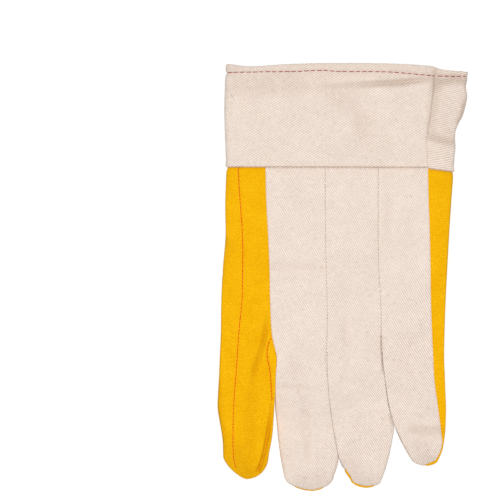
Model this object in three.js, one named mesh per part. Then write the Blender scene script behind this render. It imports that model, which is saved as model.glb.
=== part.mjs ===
// Left-hand canvas chore glove, lying back up with its thumb folded flat under the palm.
// Millimetres. +Z is up, +Y runs towards the cuff and -Y towards the fingertips, and the
// index finger is on the -X side. The origin is the middle of the outline, on the surface
// that the glove lies on.
import * as THREE from "three";

// Cloth thicknesses
const CANVAS_WALL = 1.6;
const FLANNEL_WALL = 2.2;
const CUFF_WALL = 1.6;
const HEM_WALL = 2.6;
const HEM_DEPTH = 5;
const SEAM_GAP = 0.34;
const MITRE_LIMIT = 0.35;

// Heights of the lying glove. The wrist stands higher on the thumb's side, and the stiff
// quilted index finger rests on the thumb, so its tip stays a little above the surface.
const HAND_THICKNESS = 13.4;
const TIP_THICKNESS = 12.4;
const MOUTH_THICKNESS = 15;
const THUMB_THICKNESS = 9.3;
const THUMB_CLEARANCE = 0.7;
const THUMB_LIFT = THUMB_THICKNESS + THUMB_CLEARANCE;
const WRIST_RISE = 6.4;
const BACK_RISE_SHARE = 0.84;
const INDEX_TIP = { floor: 6.2, crown: 19.7, reach: 60 };

// Where the hand's sections change
const CUFF_SEAM_Y = 67.5;
const CROTCH_Y = -46;
const THUMB_CROTCH_Y = 3;
const NOMINAL_MOUTH_Y = 131.3;

// The palm is lifted over the folded thumb inside this rectangle, and comes down around it
const LIFT = { left: -90, right: -27, low: -58, high: THUMB_CROTCH_Y, fall: 36 };
// The raised wrist runs out between these two places along the hand
const WRIST = { end: -20, start: 20 };
// Lengths over which the thumb parts from the palm and the fingers from each other
const WEB_DEPTH = 10;
const CROTCH_DEPTH = 14;
// The stitched lines on the back: how deep they dent it, as a share of a full valley
const STITCHED_DENT = 0.16;
const STITCHED_RUN_IN = 60;
const FINGER_LENGTH = 70;

// Roundness of the edges: exponents of superellipses
const HAND_EDGE = 5;
const FINGER_TOP = 3;
const UNDERSIDE = 3.5;
const FLAT_SHARE = 0.717;
const TIP_LEVEL = 0.42;
const TIP_ROUNDNESS = 2.2;
const THUMB_COLUMN_SPREAD = 0.8;
const LAST_SEAM_PLACE = 0.97;

// Outline and seams of the hand between the cuff and the fingers, seen from above
const HAND = [
  { y: 67.5, left: -71.6, indexMiddle: -47.5, middleRing: -10.9, ringLittle: 21.7, side: 52.4, right: 68.4 },
  { y: 45, left: -72.4, indexMiddle: -46.9, middleRing: -10.8, ringLittle: 21.7, side: 52.9, right: 66.9 },
  { y: 25, left: -72.2, indexMiddle: -45.8, middleRing: -10.6, ringLittle: 21.7, side: 53.6, right: 65.6 },
  { y: 5, left: -73.7, indexMiddle: -45, middleRing: -10.4, ringLittle: 21.9, side: 54, right: 64.5 },
  { y: -15, left: -74.5, indexMiddle: -44.6, middleRing: -10.1, ringLittle: 22.4, side: 54.2, right: 63.5 },
  { y: -35, left: -74.8, indexMiddle: -43.5, middleRing: -9.9, ringLittle: 23.4, side: 54.9, right: 62.8 },
  { y: -46, left: -75.3, indexMiddle: -41.6, middleRing: -9.8, ringLittle: 24.1, side: 55.4, right: 62.6 },
];

// Outline and side seam of the cuff, from the seam to the mouth
const CUFF = [
  { y: 131.3, left: -71.4, side: 57.8, right: 76.8 },
  { y: 126.8, left: -71.9, side: 57.4, right: 76.4 },
  { y: 121, left: -72.3, side: 57, right: 75.7 },
  { y: 115, left: -72.5, side: 56.2, right: 76.7 },
  { y: 107, left: -72.7, side: 55.1, right: 75.8 },
  { y: 98, left: -72.7, side: 54, right: 71.6 },
  { y: 89, left: -72.4, side: 52.6, right: 69.1 },
  { y: 80, left: -72, side: 51.8, right: 69.4 },
  { y: 67.5, left: -71.6, side: 52.4, right: 68.4 },
];

// The cuff's upper edge, from the index side to the little finger's side
const MOUTH_EDGE = [
  { x: -71.4, y: 131.3 },
  { x: -57, y: 129.4 },
  { x: -35, y: 130.5 },
  { x: -5, y: 131.4 },
  { x: 30, y: 131.2 },
  { x: 55, y: 129.8 },
  { x: 62, y: 127.8 },
  { x: 76.8, y: 126.6 },
];

// Sides of each finger below its crotch, and its rounded tip
const FINGERS = [
  // Index finger
  {
    rows: [
      { y: -46, left: -75.3, right: -41.6 },
      { y: -60, left: -75.9, right: -41.7 },
      { y: -72, left: -76.6, right: -41.8 },
      { y: -80, left: -76.8, right: -42.4 },
      { y: -88, left: -75.6, right: -43 },
      { y: -97, left: -74.2, right: -43.9 },
      { y: -108, left: -73.5, right: -45.6 },
    ],
    tip: { y: -124, x: -58.4, leftPower: 1.4, rightPower: 2.3 },
  },
  // Middle finger
  {
    rows: [
      { y: -46, left: -41.6, right: -9.8 },
      { y: -56, left: -40.8, right: -10.1 },
      { y: -68, left: -40.6, right: -9.8 },
      { y: -80, left: -40.9, right: -8.2 },
      { y: -92, left: -39.8, right: -6.6 },
      { y: -104, left: -38.5, right: -4.4 },
      { y: -117, left: -36.8, right: -4.3 },
    ],
    tip: { y: -131.5, x: -20, leftPower: 2.2, rightPower: 1.8 },
  },
  // Ring finger
  {
    rows: [
      { y: -46, left: -9.8, right: 24.1 },
      { y: -56, left: -9.4, right: 24.4 },
      { y: -68, left: -9.1, right: 26.1 },
      { y: -80, left: -7.5, right: 28 },
      { y: -92, left: -5.9, right: 31.2 },
      { y: -102, left: -3.7, right: 30.2 },
      { y: -112, left: -1.8, right: 27.7 },
    ],
    tip: { y: -129, x: 15, leftPower: 1.6, rightPower: 1.9 },
  },
  // Little finger
  {
    rows: [
      { y: -46, left: 24.1, right: 62.6 },
      { y: -56, left: 25.1, right: 62.5 },
      { y: -68, left: 26.8, right: 63.2 },
      { y: -80, left: 28.7, right: 63.5 },
      { y: -92, left: 32.4, right: 63.2 },
      { y: -98, left: 35.6, right: 62.5 },
      { y: -104, left: 38.7, right: 61.2 },
    ],
    tip: { y: -115.7, x: 50, leftPower: 1.75, rightPower: 1.9 },
  },
];

// Where the canvas ends on the back of the little finger
const LITTLE_SEAM = [
  { y: -46, x: 55.4 },
  { y: -62, x: 56.4 },
  { y: -76, x: 58.2 },
  { y: -88, x: 59.8 },
  { y: -98, x: 60.6 },
  { y: -104, x: 60 },
  { y: -115.7, x: 51.5 },
];

// Sides of the folded thumb below its crotch
const THUMB = {
  rows: [
    { y: 3, left: -73.7, right: -21.2 },
    { y: -15, left: -72.6, right: -22.4 },
    { y: -32, left: -69.4, right: -22.8 },
    { y: -46, left: -65.3, right: -21.2 },
    { y: -54, left: -61.2, right: -21.8 },
  ],
  tip: { y: -67.4, x: -38.5, leftPower: 1.7, rightPower: 1.9 },
};

// Places of the columns across one finger's width: -1 at its left side and 1 at its right
const TOP_COLUMNS = [-1, -0.93, -0.71, -0.38, 0, 0.38, 0.71, 0.93, 1];
const UNDER_COLUMNS = [-1, -0.945, -FLAT_SHARE, 0, FLAT_SHARE, 0.945, 1];
const MIDDLE_UNDER_COLUMNS = [-1, -0.945, -FLAT_SHARE, -0.15, 0.36, FLAT_SHARE, 0.945, 1];
const SIDE_SEAM_COLUMN = 6;
const THUMB_SEAM_COLUMN = 4;

const HAND_ROWS = [67.5, 57, 46, 35, 24, 13, 3, 0, -8, -19, -29, -37, -42.5, -46];
const CUFF_SHARES = [1, 0.922, 0.9, 0.82, 0.66, 0.5, 0.32, 0.15, 0];
const SHAFT_SHARES = [0, 0.12, 0.3, 0.5, 0.7, 0.86, 1];
const TIP_SHARES = [0.35, 0.62, 0.82, 0.94, 1];
const THUMB_SHARES = [0, 0.05, 0.16, 0.4, 0.7, 1];

const mix = (a, b, share) => a + (b - a) * share;
const clamp = (value) => Math.min(1, Math.max(0, value));
const smooth = (value) => clamp(value) ** 2 * (3 - 2 * clamp(value));
const rounded = (place, power) => Math.max(0, 1 - Math.abs(place) ** power) ** (1 / power);

// Height share of a flat underside whose edges turn up: 1 on the flat, 0 at the very side
function underShare(place) {
  return Math.min(1, rounded(place, UNDERSIDE) / rounded(FLAT_SHARE, UNDERSIDE));
}

// Smooth curve through one column of a table, read at a place given by another column
function along(rows, column, place, key = "y") {
  const down = rows[0][key] > rows[1][key] ? -1 : 1;
  const last = rows.length - 1;
  let i = rows.findIndex((row) => (row[key] - place) * down >= 0);
  i = i < 0 ? last : Math.max(1, i);
  const slope = (k) => {
    const a = rows[Math.max(0, k - 1)];
    const b = rows[Math.min(last, k + 1)];
    return (b[column] - a[column]) / (b[key] - a[key]);
  };
  const a = rows[i - 1];
  const b = rows[i];
  const span = b[key] - a[key];
  const t = clamp((place - a[key]) / span);
  const bendA = t * (1 - t) ** 2 * span * slope(i - 1);
  const bendB = t * t * (1 - t) * span * slope(i);
  return mix(a[column], b[column], t * t * (3 - 2 * t)) + bendA - bendB;
}

// Share of the full lift over the folded thumb
function liftShare(x, y) {
  const aside = Math.max(LIFT.left - x, 0, x - LIFT.right);
  const beyond = Math.max(LIFT.low - y, 0, y - LIFT.high);
  return 1 - smooth(Math.hypot(aside, beyond) / LIFT.fall);
}

// Height of the palm above the surface
const palmFloor = (x, y) => THUMB_LIFT * liftShare(x, y);

// Height of the back of the hand above the surface
function backCrown(x, y) {
  const nearThumb = 1 - smooth((x - LIFT.right) / LIFT.fall);
  const wrist = WRIST_RISE * nearThumb * smooth((y - WRIST.end) / (WRIST.start - WRIST.end));
  return thickness(y) + mix(wrist, BACK_RISE_SHARE * THUMB_LIFT, liftShare(x, y));
}

// Share of the way from the cuff's seam to its mouth
const cuffShare = (y) => clamp((y - CUFF_SEAM_Y) / (NOMINAL_MOUTH_Y - CUFF_SEAM_Y));

function thickness(y) {
  if (y > CUFF_SEAM_Y) return mix(HAND_THICKNESS, MOUTH_THICKNESS, smooth(cuffShare(y)));
  return mix(HAND_THICKNESS, TIP_THICKNESS, clamp((CROTCH_Y - y) / FINGER_LENGTH));
}

// How far the valleys between the fingers have deepened on the way to the crotch
const crotchValley = (y) => smooth((CROTCH_Y + CROTCH_DEPTH - y) / CROTCH_DEPTH) ** 2;
const backDent = (y) => STITCHED_DENT * smooth((CUFF_SEAM_Y - y) / STITCHED_RUN_IN);
const backValley = (y) => mix(backDent(y), 1, crotchValley(y));

// Boundaries of the four finger lanes across the hand or the cuff
function laneEdges(y) {
  const seams = Math.min(y, CUFF_SEAM_Y);
  const outline = y > CUFF_SEAM_Y ? CUFF : HAND;
  return [
    along(outline, "left", y),
    along(HAND, "indexMiddle", seams),
    along(HAND, "middleRing", seams),
    along(HAND, "ringLittle", seams),
    along(outline, "right", y),
  ];
}

// Moves the columns on the back of the little finger so that one of them is the side seam
function littlePlace(place, seam) {
  const column = TOP_COLUMNS[SIDE_SEAM_COLUMN];
  if (place < column) return mix(-1, seam, (place + 1) / (column + 1));
  return mix(seam, 1, (place - column) / (1 - column));
}

function topColumns(lane, left, right, seamX) {
  if (lane < 3) return TOP_COLUMNS;
  const seam = ((seamX - left) / (right - left)) * 2 - 1;
  return TOP_COLUMNS.map((place) => littlePlace(place, Math.min(seam, LAST_SEAM_PLACE)));
}

const underColumns = (lane) => (lane === 1 ? MIDDLE_UNDER_COLUMNS : UNDER_COLUMNS);

// How far the thumb has parted from the palm beyond their crotch
const webShare = (y) => smooth((THUMB_CROTCH_Y - y) / WEB_DEPTH);

// Height of the hand's left side line, where the palm meets the thumb before their crotch
function leftSideHeight(x, y) {
  const crown = backCrown(x, y);
  if (y > THUMB_CROTCH_Y) return crown / 2;
  return mix(THUMB_LIFT, (THUMB_LIFT + crown) / 2, webShare(y));
}

// One section of the hand or the cuff at height y along it: four lanes of top and under points
function handSection(y) {
  const edges = laneEdges(y);
  const middle = (edges[0] + edges[4]) / 2;
  const half = (edges[4] - edges[0]) / 2;
  const isCuff = y > CUFF_SEAM_Y;
  const seamX = along(isCuff ? CUFF : HAND, "side", y);
  const yAt = (x) => (isCuff ? mix(CUFF_SEAM_Y, along(MOUTH_EDGE, "y", x, "x"), cuffShare(y)) : y);
  return [0, 1, 2, 3].map((lane) => {
    const left = edges[lane];
    const right = edges[lane + 1];
    const isOuter = (place) => (lane === 0 && place < 0) || (lane === 3 && place > 0);
    const at = (place, isTop) => {
      const x = (left + right) / 2 + ((right - left) / 2) * place;
      const across = clamp(Math.abs(x - middle) / half);
      const floor = palmFloor(x, y);
      const crown = backCrown(x, y);
      const inner = (floor + crown) / 2;
      const side = x < middle ? leftSideHeight(x, y) : inner;
      const laneSide = isOuter(place) ? side : inner;
      if (isTop) {
        const whole = mix(side, crown, rounded(across, HAND_EDGE));
        const single = mix(laneSide, crown, rounded(place, FINGER_TOP));
        return [x, yAt(x), mix(whole, single, backValley(y))];
      }
      const whole = isOuter(place) ? underShare(place) : 1;
      const share = mix(whole, underShare(place), crotchValley(y));
      return [x, yAt(x), mix(laneSide, floor, share)];
    };
    return {
      top: topColumns(lane, left, right, seamX).map((place) => at(place, true)),
      under: underColumns(lane).map((place) => at(place, false)),
    };
  });
}

// Left and right side of a finger or the thumb at y, its tip included
function sidesAt(finger, y) {
  const { rows, tip } = finger;
  const end = rows[rows.length - 1];
  if (y >= end.y) return { left: along(rows, "left", y), right: along(rows, "right", y), share: 1 };
  const s = clamp((end.y - y) / (end.y - tip.y));
  return {
    left: mix(tip.x, end.left, rounded(s, tip.leftPower)),
    right: mix(tip.x, end.right, rounded(s, tip.rightPower)),
    share: rounded(s, TIP_ROUNDNESS),
  };
}

function rowsOf(finger, shares) {
  const start = finger.rows[0].y;
  const end = finger.rows[finger.rows.length - 1].y;
  return [
    ...shares.map((share) => mix(start, end, share)),
    ...TIP_SHARES.map((share) => mix(end, finger.tip.y, share)),
  ];
}

// Lowest and highest surface of a finger; the index finger lies straight over the thumb
function fingerHeights(lane, x, y) {
  if (lane > 0) return { floor: palmFloor(x, y), crown: backCrown(x, y) };
  const share = smooth((CROTCH_Y - y) / INDEX_TIP.reach);
  const crown = HAND_THICKNESS + BACK_RISE_SHARE * THUMB_LIFT;
  return { floor: mix(THUMB_LIFT, INDEX_TIP.floor, share), crown: mix(crown, INDEX_TIP.crown, share) };
}

function fingerSection(lane, y) {
  const { left, right, share } = sidesAt(FINGERS[lane], y);
  const at = (place, isTop) => {
    const x = (left + right) / 2 + ((right - left) / 2) * place;
    const { floor, crown } = fingerHeights(lane, x, y);
    const half = (crown - floor) / 2;
    const level = floor + mix(TIP_LEVEL * 2 * half, half, share);
    if (isTop) return [x, y, level + half * share * rounded(place, FINGER_TOP)];
    return [x, y, level - Math.min(half * share, level - floor) * underShare(place)];
  };
  const seamX = along(LITTLE_SEAM, "x", y);
  return {
    top: topColumns(lane, left, right, seamX).map((place) => at(place, true)),
    under: underColumns(lane).map((place) => at(place, false)),
  };
}

// The thumb's own columns, evenly turned around its flattened tube
const THUMB_COLUMNS = 10;
const thumbPlace = (i) => {
  const turn = Math.cos((Math.PI * i) / THUMB_COLUMNS);
  return -Math.sign(turn) * Math.abs(turn) ** THUMB_COLUMN_SPREAD;
};

// Lower wall of the thumb before its crotch, between the hand's left side and the thumb seam
function thumbBaseSection(y, row) {
  const section = handSection(y);
  const laneBased = [...section[0].under, ...section[1].under.slice(1, THUMB_SEAM_COLUMN + 1)];
  const first = laneBased[0];
  const last = laneBased[THUMB_COLUMNS];
  const own = smooth(row / HAND_ROWS.indexOf(THUMB_CROTCH_Y));
  return laneBased.map((point, i) => {
    if (i === 0 || i === THUMB_COLUMNS) return point;
    const end = thumbPlace(i) < 0 ? first[2] : last[2];
    const x = mix(point[0], mix(first[0], last[0], (thumbPlace(i) + 1) / 2), own);
    const place = ((x - first[0]) / (last[0] - first[0])) * 2 - 1;
    return [x, y, end * (1 - underShare(mix(place, thumbPlace(i), own)))];
  });
}

function thumbTubeSection(y) {
  const { left, right, share } = sidesAt(THUMB, y);
  const level = THUMB_THICKNESS / 2;
  const side = mix(THUMB_LIFT, level, webShare(y));
  const crown = mix(THUMB_LIFT, THUMB_THICKNESS, webShare(y));
  const section = (heightAt) =>
    Array.from({ length: THUMB_COLUMNS + 1 }, (_, i) => {
      const place = thumbPlace(i);
      return [mix(left, right, (place + 1) / 2), y, mix(level, heightAt(place), share)];
    });
  return {
    top: section((place) => mix(side, crown, rounded(place, FINGER_TOP))),
    under: section((place) => mix(side, 0, underShare(place))),
  };
}

// The whole outer surface is one list of quads with their piece's name. Points that
// coincide are shared, so normals run on across every seam.
const quads = [];

function addStrip(rowA, rowB, pieceAt, faceUp) {
  for (let i = 0; i + 1 < rowA.length; i += 1) {
    const corners = [rowA[i], rowB[i], rowB[i + 1], rowA[i + 1]];
    quads.push({ corners: faceUp ? corners : corners.reverse(), piece: pieceAt(i) });
  }
}

function addHand() {
  const cuffRows = CUFF_SHARES.map((share) => mix(CUFF_SEAM_Y, NOMINAL_MOUTH_Y, share));
  const rows = [...cuffRows, ...HAND_ROWS.slice(1)];
  const sections = rows.map(handSection);
  for (let row = 0; row + 1 < rows.length; row += 1) {
    const isCuff = rows[row] > CUFF_SEAM_Y;
    const beforeThumb = !isCuff && rows[row] > THUMB_CROTCH_Y;
    const atCrotch = row + 2 === rows.length;
    for (let lane = 0; lane < 4; lane += 1) {
      const a = sections[row][lane];
      const b = sections[row + 1][lane];
      const beyondSeam = (i) => lane === 3 && i >= SIDE_SEAM_COLUMN;
      addStrip(
        a.top,
        b.top,
        (i) => {
          if (isCuff) return beyondSeam(i) ? "cuff_palm" : "cuff_back";
          return lane === 0 || beyondSeam(i) ? "palm_panel" : "back_panel";
        },
        true,
      );
      const lastColumn = a.under.length - 2;
      const skipped = (i) => beforeThumb && (lane === 0 || (lane === 1 && i < THUMB_SEAM_COLUMN));
      const isWeb = (i) => atCrotch && ((i <= 1 && lane > 0) || (i >= lastColumn - 1 && lane > 0 && lane < 3));
      addStrip(
        a.under,
        b.under,
        (i) => {
          if (skipped(i)) return null;
          if (isCuff) return "cuff_palm";
          return isWeb(i) ? "back_panel" : "palm_panel";
        },
        false,
      );
    }
  }
}

function addFingers() {
  FINGERS.forEach((finger, lane) => {
    const rows = rowsOf(finger, SHAFT_SHARES);
    const sections = rows.map((y, row) => (row === 0 ? handSection(CROTCH_Y)[lane] : fingerSection(lane, y)));
    for (let row = 0; row + 1 < rows.length; row += 1) {
      const a = sections[row];
      const b = sections[row + 1];
      const lastColumn = a.under.length - 2;
      const isYellow = (i) => lane === 0 || (lane === 3 && i >= SIDE_SEAM_COLUMN);
      addStrip(a.top, b.top, (i) => (isYellow(i) ? "palm_panel" : "back_panel"), true);
      addStrip(
        a.under,
        b.under,
        (i) => {
          const nearLeft = i <= 1 && lane > 0;
          const nearRight = i >= lastColumn - 1 && (lane === 1 || lane === 2);
          return nearLeft || nearRight ? "back_panel" : "palm_panel";
        },
        false,
      );
    }
  });
}

const thumbCrotch = handSection(THUMB_CROTCH_Y);
const thumbWeb = [...thumbCrotch[0].under, ...thumbCrotch[1].under.slice(1, THUMB_SEAM_COLUMN + 1)];

function addThumb() {
  const crotchRow = HAND_ROWS.indexOf(THUMB_CROTCH_Y);
  const base = HAND_ROWS.slice(0, crotchRow + 1).map((y, row) => thumbBaseSection(y, row));
  for (let row = 0; row < crotchRow; row += 1) addStrip(base[row], base[row + 1], () => "thumb", false);

  const rows = rowsOf(THUMB, THUMB_SHARES);
  const start = { top: thumbWeb, under: base[crotchRow] };
  const tube = rows.map((y, row) => (row === 0 ? start : thumbTubeSection(y)));
  for (let row = 0; row + 1 < rows.length; row += 1) {
    addStrip(tube[row].top, tube[row + 1].top, () => "thumb", true);
    addStrip(tube[row].under, tube[row + 1].under, () => "thumb", false);
  }
}

addHand();
addFingers();
addThumb();

// Shared points, triangles and smooth normals of the whole surface
const points = [];
const indexOfPoint = new Map();

function pointIndex(corner) {
  const key = corner.map((value) => Math.round(value * 1000)).join(",");
  if (!indexOfPoint.has(key)) {
    indexOfPoint.set(key, points.length);
    points.push(new THREE.Vector3(...corner));
  }
  return indexOfPoint.get(key);
}

const triangles = [];
for (const { corners, piece } of quads) {
  if (!piece) continue;
  const [a, b, c, d] = corners.map(pointIndex);
  for (const corner of [[a, b, c], [a, c, d]]) {
    if (new Set(corner).size === 3) triangles.push({ corner, piece });
  }
}

function faceNormal(corner) {
  const [a, b, c] = corner.map((i) => points[i]);
  return new THREE.Vector3().subVectors(b, a).cross(new THREE.Vector3().subVectors(c, a));
}

const normals = points.map(() => new THREE.Vector3());
for (const { corner } of triangles) {
  const normal = faceNormal(corner);
  corner.forEach((i) => normals[i].add(normal));
}
normals.forEach((normal) => normal.normalize());

// The fold between palm and thumb is so sharp that its normal is set: straight into the fold
for (const corner of thumbWeb.slice(1, -1)) normals[pointIndex(corner)].set(0, -1, 0);

// Normal of one piece's own faces at a point
function ownNormal(pointId, ownTriangles) {
  const sum = new THREE.Vector3();
  for (const { corner } of ownTriangles) if (corner.includes(pointId)) sum.add(faceNormal(corner));
  return sum.normalize();
}

// Points on a piece's own edge step back from the seam, so that each of the two edges that
// meet there keeps half the gap
function seamStep(pointId, rimEdges, normal) {
  const step = new THREE.Vector3();
  const sides = rimEdges
    .filter((edge) => edge.includes(pointId))
    .map(([a, b]) => new THREE.Vector3().subVectors(points[a], points[b]).cross(normal).normalize());
  sides.forEach((side) => step.add(side));
  const spread = Math.max(MITRE_LIMIT, step.lengthSq() / sides.length);
  const fold = normal.clone().addScaledVector(normals[pointId], -normal.dot(normals[pointId]));
  return step.divideScalar(spread).sub(fold).multiplyScalar(SEAM_GAP / 2);
}

// A piece of cloth: its outer faces, the same faces one wall further in, and a rim between
function clothGeometry(piece, wallAt) {
  const own = triangles.filter((triangle) => triangle.piece === piece);
  const rim = new Map();
  for (const { corner } of own) {
    corner.forEach((a, k) => {
      const b = corner[(k + 1) % 3];
      if (!rim.delete(`${b},${a}`)) rim.set(`${a},${b}`, [a, b]);
    });
  }
  const rimEdges = [...rim.values()];
  const rimPoints = new Set(rimEdges.flat());
  const outer = new Map();
  const inner = new Map();
  for (const id of new Set(own.flatMap(({ corner }) => corner))) {
    const place = points[id].clone();
    if (rimPoints.has(id)) place.add(seamStep(id, rimEdges, ownNormal(id, own)));
    place.z = Math.max(0, place.z);
    outer.set(id, place);
    inner.set(id, place.clone().addScaledVector(normals[id], -wallAt(place)));
  }
  const positions = [];
  const push = (...corners) => corners.forEach((corner) => positions.push(corner.x, corner.y, corner.z));
  for (const { corner: [a, b, c] } of own) {
    push(outer.get(a), outer.get(b), outer.get(c));
    push(inner.get(a), inner.get(c), inner.get(b));
  }
  for (const [a, b] of rimEdges) {
    // The same diagonal on both sides of a seam keeps the gap even where the seam twists
    if (a < b) {
      push(outer.get(b), outer.get(a), inner.get(a));
      push(outer.get(b), inner.get(a), inner.get(b));
    } else {
      push(outer.get(b), outer.get(a), inner.get(b));
      push(outer.get(a), inner.get(a), inner.get(b));
    }
  }
  const geometry = new THREE.BufferGeometry();
  geometry.setAttribute("position", new THREE.Float32BufferAttribute(positions, 3));
  geometry.computeVertexNormals();
  return geometry;
}

function cuffWall(place) {
  const edge = along(MOUTH_EDGE, "y", place.x, "x");
  return place.y > edge - HEM_DEPTH - 1 ? HEM_WALL : CUFF_WALL;
}

const canvas = { color: "#ecdccd", roughness: 0.9, metalness: 0 };
const flannel = { color: "#fbb90e", roughness: 0.95, metalness: 0 };

const PIECES = [
  { name: "back_panel", wall: () => CANVAS_WALL, finish: canvas },
  { name: "palm_panel", wall: () => FLANNEL_WALL, finish: flannel },
  { name: "thumb", wall: () => FLANNEL_WALL, finish: flannel },
  { name: "cuff_back", wall: cuffWall, finish: canvas },
  { name: "cuff_palm", wall: cuffWall, finish: canvas },
];

const glove = new THREE.Group();
for (const { name, wall, finish } of PIECES) {
  const mesh = new THREE.Mesh(clothGeometry(name, wall), new THREE.MeshStandardMaterial(finish));
  mesh.name = name;
  glove.add(mesh);
}

export default glove;
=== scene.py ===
import math

import bpy
import numpy as np
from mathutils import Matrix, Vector
from mathutils.bvhtree import BVHTree
from mathutils.kdtree import KDTree


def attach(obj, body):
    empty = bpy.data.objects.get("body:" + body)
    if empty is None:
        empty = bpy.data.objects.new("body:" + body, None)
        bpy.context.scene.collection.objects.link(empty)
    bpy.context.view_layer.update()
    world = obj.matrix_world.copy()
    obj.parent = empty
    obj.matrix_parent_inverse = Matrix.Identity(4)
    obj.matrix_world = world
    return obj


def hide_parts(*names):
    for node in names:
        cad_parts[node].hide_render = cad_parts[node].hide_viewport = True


# Left-hand canvas chore glove, lying back up with its thumb folded flat under the palm.
# Lengths are in millimetres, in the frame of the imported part, until a mesh is made.
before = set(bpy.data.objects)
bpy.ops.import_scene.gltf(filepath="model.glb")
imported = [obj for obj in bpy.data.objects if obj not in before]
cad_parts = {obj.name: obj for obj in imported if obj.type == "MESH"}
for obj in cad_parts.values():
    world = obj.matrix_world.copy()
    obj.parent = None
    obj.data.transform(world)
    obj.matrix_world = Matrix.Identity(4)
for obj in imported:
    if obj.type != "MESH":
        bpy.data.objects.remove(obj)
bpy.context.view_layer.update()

MM = 0.001
EXACT = 1e-9
random = np.random.RandomState(7)

# Camera: straight above, framed as the picture is
PIXEL = 0.615
PICTURE_SIDE = 500 * PIXEL
VIEW_X = -56.9
VIEW_Y = 16.9
FRAMED_HEIGHT = 8
LENS = 250
SENSOR = 36

# Heights of the lying glove, and the places between which they change
HAND_THICKNESS = 13.4
TIP_THICKNESS = 12.4
MOUTH_THICKNESS = 15
THUMB_THICKNESS = 9.3
THUMB_LIFT = 10
WRIST_RISE = 6.4
BACK_RISE_SHARE = 0.84
INDEX_TIP_FLOOR = 6.2
INDEX_TIP_CROWN = 19.7
INDEX_TIP_REACH = 60
INDEX_DROOP = 2.6
INDEX_DROOP_Y = -96
CUFF_SEAM_Y = 67.5
CROTCH_Y = -46
THUMB_CROTCH_Y = 3
MOUTH_Y = 131.3
LIFT_LEFT = -90
LIFT_RIGHT = -27
LIFT_LOW = -58
LIFT_FALL = 36
BACK_FALL = 60
MOUTH_SIDE_FALL = 2.4
MOUTH_WAVE = 1.2
MOUTH_WAVE_LENGTH = 62
WRIST_END = -20
WRIST_START = 20
WEB_DEPTH = 10
CROTCH_DEPTH = 14
STITCHED_DENT = 0.03
STITCHED_RUN_IN = 60
FINGER_LENGTH = 70
FINGERS_APART = 0.012
CONTACT_DEPTH = 0.35
TIP_RUN = 16
STRIP_FALL = 3.2
STRIP_START = 50
STRIP_RUN = 24
STRIP_LOW = 45

# Roundness of the edges: exponents of superellipses
HAND_EDGE = 5
MOUTH_EDGE_POWER = 4
FINGER_TOP = 11
TIP_TOP = 4.5
THUMB_TOP = 5
TIP_TOP_START = -92
TIP_TOP_RUN = 26
UNDERSIDE = 3.5
FLAT_SHARE = 0.717
TIP_LEVEL = 0.42
TIP_ROUNDNESS = 1.75


def table(names, rows):
    return dict(zip(names.split(), np.array(rows, float).T))


def outlined(rows, *tip):
    """A finger: its two sides row by row, and its tip's y, x and roundness on either side."""
    return table("y left right", rows), tip


# The glove's outline and seams in the picture plane
HAND = table("y left index_middle middle_ring ring_little side right", [
    [67.5, -71.6, -47.5, -10.9, 21.7, 52.4, 68.4],
    [45, -72.4, -46.9, -10.8, 21.7, 52.9, 66.9],
    [25, -72.2, -45.8, -10.6, 21.7, 53.6, 65.6],
    [5, -73.7, -45, -10.4, 21.9, 54, 64.5],
    [-15, -74.5, -44.6, -10.1, 22.4, 54.2, 63.5],
    [-35, -74.8, -43.5, -9.9, 23.4, 54.9, 62.8],
    [-46, -75.3, -41, -9.7, 24.3, 55.4, 62.6],
])
CUFF = table("y left side right", [
    [131.3, -71.4, 57.8, 77.2], [126.1, -71.9, 57.4, 77], [121.2, -72.3, 57, 76.1],
    [116.2, -72.4, 56.5, 76.9], [111.3, -72.6, 55.8, 76.5], [106.4, -72.7, 55.1, 75.4],
    [101.5, -72.7, 54.6, 74], [96.6, -72.6, 53.8, 71.5], [91.6, -72.5, 52.9, 69.7],
    [86.7, -72.3, 52.2, 69.5], [81.8, -72.1, 51.8, 69.7], [76.9, -71.9, 52, 69.1],
    [67.5, -71.6, 52.4, 68.5],
])
MOUTH_EDGE = table("x y", [
    [-71.4, 131.3], [-57, 129.4], [-35, 130.5], [-5, 131.4], [30, 131.2], [55, 129.8],
    [62, 127.8], [76.8, 126.6],
])
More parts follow.
